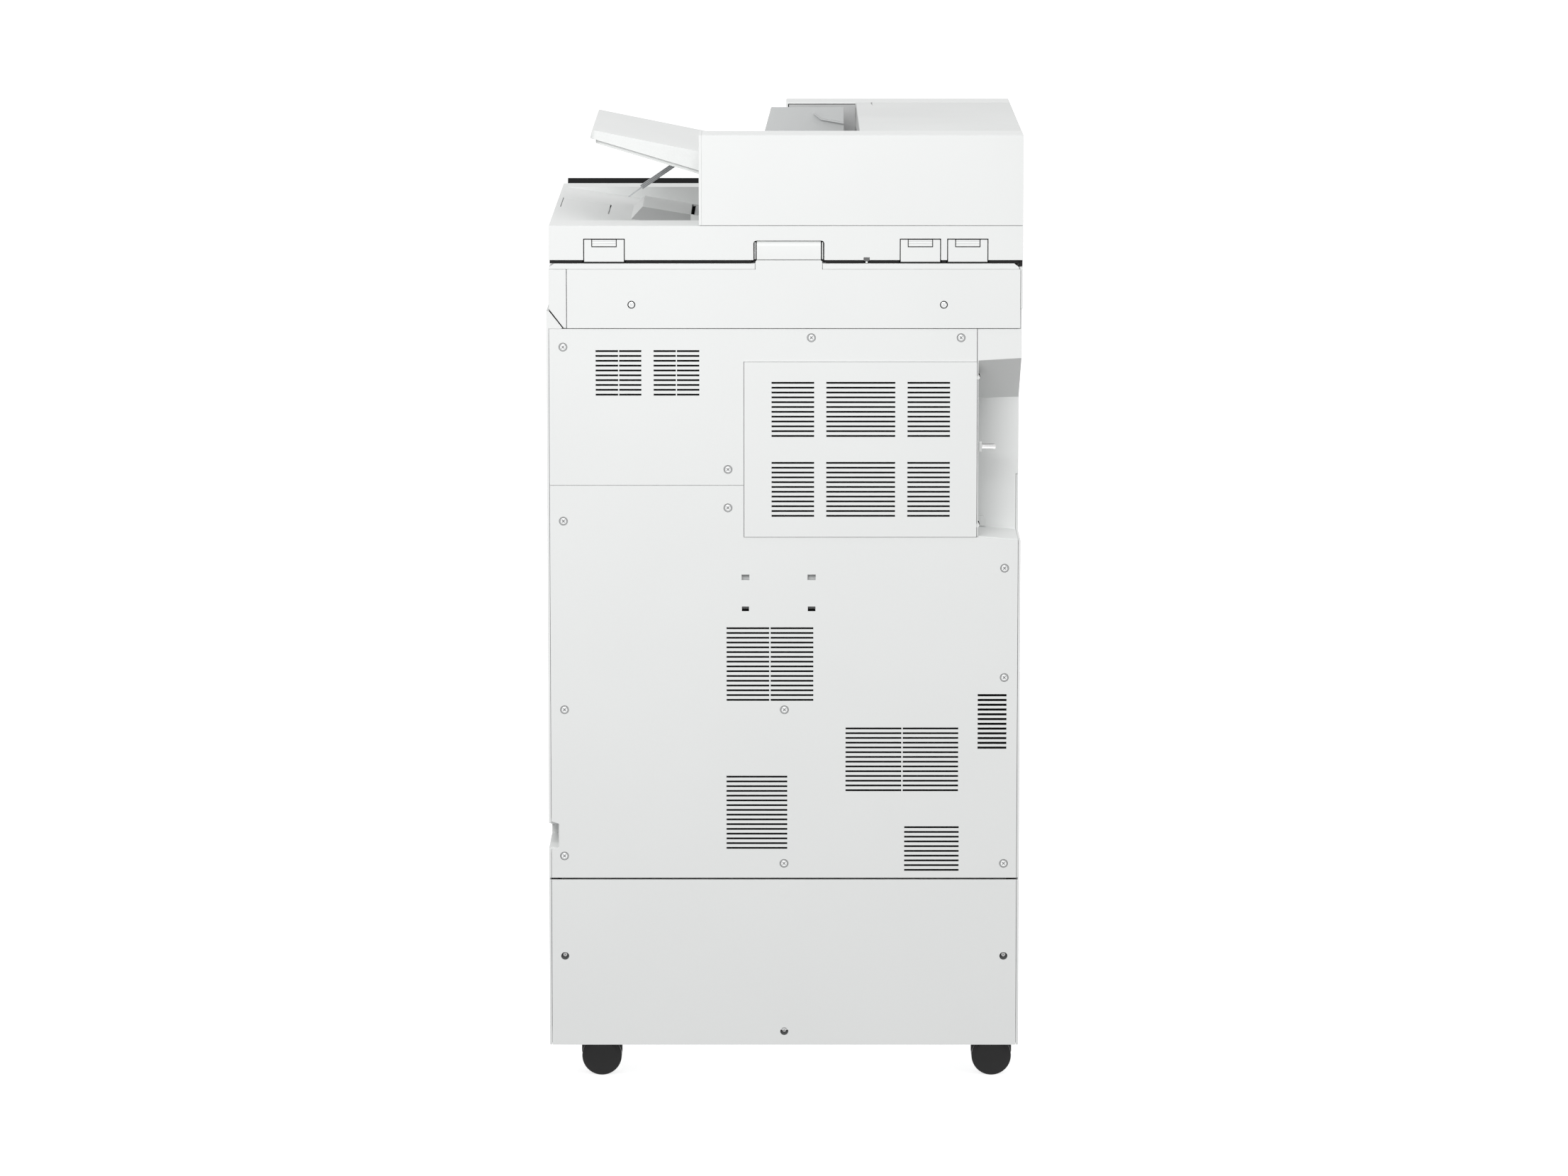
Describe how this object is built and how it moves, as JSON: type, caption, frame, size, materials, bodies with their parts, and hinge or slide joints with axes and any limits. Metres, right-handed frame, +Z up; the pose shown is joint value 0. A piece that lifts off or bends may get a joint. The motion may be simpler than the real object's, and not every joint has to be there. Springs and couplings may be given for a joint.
{
  "type": "photocopier",
  "caption": "Floor-standing office multifunction photocopier on a castered pedestal, with document feeder, hinged lid, paper drawers, tilting control panel and side doors.",
  "frame": {"origin": "centre of the footprint at floor level", "axes": "+X to the operator's right, -Y towards the operator, +Y towards the rear face, +Z up"},
  "size_m": [0.5906, 0.74, 1.195],
  "materials": {
    "shell": "fine moulded texture, off-white",
    "inner_plastic": "fine moulded texture, grey",
    "black_plastic": "satin moulded",
    "panel_plastic": "semi-gloss black",
    "key_plastic": "satin",
    "screen": "polished",
    "frame_steel": "zinc plated sheet",
    "arm_steel": "satin",
    "wheel": "smooth moulded black",
    "roller_rubber": "matt",
    "glass": "clear",
    "pad": "soft white film"
  },
  "bodies": {
    "chassis": {"cable_cover": "shell", "corner_cover": "shell", "delivery_tray": "inner_plastic", "docking_pin": "shell", "drum_unit": "black_plastic", "exit_housing": "inner_plastic", "inner_cover": "inner_plastic", "laser_unit": "black_plastic", "left_cover": "shell", "main_frame": "frame_steel", "pedestal_frame": "frame_steel", "pedestal_left_cover": "shell", "pedestal_rear_cover": "shell", "pedestal_right_cover": "shell", "platen_frame": "shell", "platen_glass": "glass", "power_inlet": "black_plastic", "reader_base": "shell", "reader_rear_cover": "shell", "reader_side_cover": "shell", "rear_lower_cover": "shell", "rear_upper_cover": "shell", "rear_vent_cover": "shell", "right_cover": "shell", "scan_glass": "glass", "toner_bottle": "black_plastic"},
    "lid": {"lid_base": "shell", "platen_pad": "pad", "adf_rear_cover": "shell", "adf_front_cover": "shell", "adf_frame": "inner_plastic", "hinge_left": "shell", "hinge_mid": "shell", "hinge_right": "shell"},
    "feed_cover": {"adf_feed_cover": "shell"},
    "feed_roller": {"feed_roller": "roller_rubber"},
    "document_tray": {"document_tray": "shell"},
    "paper_arm": {"paper_arm": "arm_steel"},
    "guide_front": {"guide_front": "inner_plastic"},
    "guide_rear": {"guide_rear": "inner_plastic"},
    "stopper_flap": {"stopper_flap": "shell"},
    "control_panel": {"control_panel": "panel_plastic", "touch_screen": "screen"},
    "start_key": {"start_key": "key_plastic"},
    "front_door": {"front_door": "shell"},
    "right_door": {"right_door": "shell"},
    "bypass_tray": {"bypass_tray": "shell"},
    "scan_carriage": {"scan_carriage": "black_plastic"},
    "cassette_1": {"cassette_1": "shell"},
    "cassette_2": {"cassette_2": "shell"},
    "cassette_3": {"cassette_3": "shell"},
    "fixing_roller": {"fixing_roller": "roller_rubber"},
    "caster_swivel_rear_right": {"caster_fork_rear_right": "black_plastic"},
    "caster_wheel_rear_right": {"caster_wheel_rear_right": "wheel"},
    "caster_swivel_rear_left": {"caster_fork_rear_left": "black_plastic"},
    "caster_wheel_rear_left": {"caster_wheel_rear_left": "wheel"},
    "caster_swivel_front_right": {"caster_fork_front_right": "black_plastic"},
    "caster_wheel_front_right": {"caster_wheel_front_right": "wheel"},
    "caster_swivel_front_left": {"caster_fork_front_left": "black_plastic"},
    "caster_wheel_front_left": {"caster_wheel_front_left": "wheel"}
  },
  "joints": [
    {"name": "lid_hinge", "type": "hinge", "parent": "chassis", "child": "lid", "pos_m": [0, 0.3695, 1.0384], "axis": [-1, 0, 0], "range_deg": [0, 70]},
    {"name": "feed_cover_hinge", "type": "hinge", "parent": "lid", "child": "feed_cover", "pos_m": [-0.2903, 0.08, 1.09], "axis": [0, -1, 0], "range_deg": [0, 75]},
    {"name": "feed_roller_spin", "type": "hinge", "parent": "feed_cover", "child": "feed_roller", "pos_m": [-0.137, 0.08, 1.143], "axis": [0, 1, 0], "continuous": true},
    {"name": "document_tray_hinge", "type": "hinge", "parent": "lid", "child": "document_tray", "pos_m": [0.029, 0.08, 1.1473], "axis": [0, -1, 0], "range_deg": [0, 35]},
    {"name": "paper_arm_hinge", "type": "hinge", "parent": "document_tray", "child": "paper_arm", "pos_m": [0.1225, -0.06, 1.1345], "axis": [0, -1, 0], "range_deg": [0, 40]},
    {"name": "guide_front_slide", "type": "slide", "parent": "lid", "child": "guide_front", "axis": [0, 1, 0], "range_m": [0, 0.078]},
    {"name": "guide_rear_slide", "type": "slide", "parent": "lid", "child": "guide_rear", "axis": [0, 1, 0], "range_m": [-0.078, 0]},
    {"name": "stopper_flap_hinge", "type": "hinge", "parent": "lid", "child": "stopper_flap", "pos_m": [0.283, 0.048, 1.081], "axis": [0, 1, 0], "range_deg": [0, 90]},
    {"name": "control_panel_tilt", "type": "hinge", "parent": "chassis", "child": "control_panel", "pos_m": [0.133, -0.262, 1.033], "axis": [1, 0, 0], "range_deg": [-25, 20]},
    {"name": "start_key_press", "type": "slide", "parent": "control_panel", "child": "start_key", "axis": [0, 0.6691, -0.7431], "range_m": [0, 0.001], "stiffness_N_per_m": 300, "springref_m": -0.0005},
    {"name": "front_door_hinge", "type": "hinge", "parent": "chassis", "child": "front_door", "pos_m": [0, -0.2665, 0.4685], "axis": [1, 0, 0], "range_deg": [0, 90]},
    {"name": "right_door_hinge", "type": "hinge", "parent": "chassis", "child": "right_door", "pos_m": [0.2935, 0.1965, 0.577], "axis": [0, 0, 1], "range_deg": [0, 65]},
    {"name": "bypass_tray_hinge", "type": "hinge", "parent": "right_door", "child": "bypass_tray", "pos_m": [0.2925, -0.02, 0.5025], "axis": [0, 1, 0], "range_deg": [0, 75]},
    {"name": "scan_carriage_slide", "type": "slide", "parent": "chassis", "child": "scan_carriage", "axis": [1, 0, 0], "range_m": [0, 0.44]},
    {"name": "cassette_1_slide", "type": "slide", "parent": "chassis", "child": "cassette_1", "axis": [0, -1, 0], "range_m": [0, 0.42]},
    {"name": "cassette_2_slide", "type": "slide", "parent": "chassis", "child": "cassette_2", "axis": [0, -1, 0], "range_m": [0, 0.42]},
    {"name": "cassette_3_slide", "type": "slide", "parent": "chassis", "child": "cassette_3", "axis": [0, -1, 0], "range_m": [0, 0.42]},
    {"name": "fixing_roller_spin", "type": "hinge", "parent": "chassis", "child": "fixing_roller", "pos_m": [0.205, 0.005, 0.752], "axis": [0, 1, 0], "continuous": true},
    {"name": "caster_swivel_rear_right_turn", "type": "hinge", "parent": "chassis", "child": "caster_swivel_rear_right", "pos_m": [0.2462, 0.304, 0.06], "axis": [0, 0, 1], "continuous": true},
    {"name": "caster_wheel_rear_right_spin", "type": "hinge", "parent": "caster_swivel_rear_right", "child": "caster_wheel_rear_right", "pos_m": [0.2302, 0.304, 0.025], "axis": [0, 1, 0], "continuous": true},
    {"name": "caster_swivel_rear_left_turn", "type": "hinge", "parent": "chassis", "child": "caster_swivel_rear_left", "pos_m": [-0.2461, 0.304, 0.06], "axis": [0, 0, 1], "continuous": true},
    {"name": "caster_wheel_rear_left_spin", "type": "hinge", "parent": "caster_swivel_rear_left", "child": "caster_wheel_rear_left", "pos_m": [-0.2621, 0.304, 0.025], "axis": [0, 1, 0], "continuous": true},
    {"name": "caster_swivel_front_right_turn", "type": "hinge", "parent": "chassis", "child": "caster_swivel_front_right", "pos_m": [0.2462, -0.19, 0.06], "axis": [0, 0, 1], "continuous": true},
    {"name": "caster_wheel_front_right_spin", "type": "hinge", "parent": "caster_swivel_front_right", "child": "caster_wheel_front_right", "pos_m": [0.2302, -0.19, 0.025], "axis": [0, 1, 0], "continuous": true},
    {"name": "caster_swivel_front_left_turn", "type": "hinge", "parent": "chassis", "child": "caster_swivel_front_left", "pos_m": [-0.2461, -0.19, 0.06], "axis": [0, 0, 1], "continuous": true},
    {"name": "caster_wheel_front_left_spin", "type": "hinge", "parent": "caster_swivel_front_left", "child": "caster_wheel_front_left", "pos_m": [-0.2621, -0.19, 0.025], "axis": [0, 1, 0], "continuous": true}
  ],
  "couplings": [
    {"joint": "guide_rear_slide", "follows": "guide_front_slide", "ratio": -1}
  ]
}
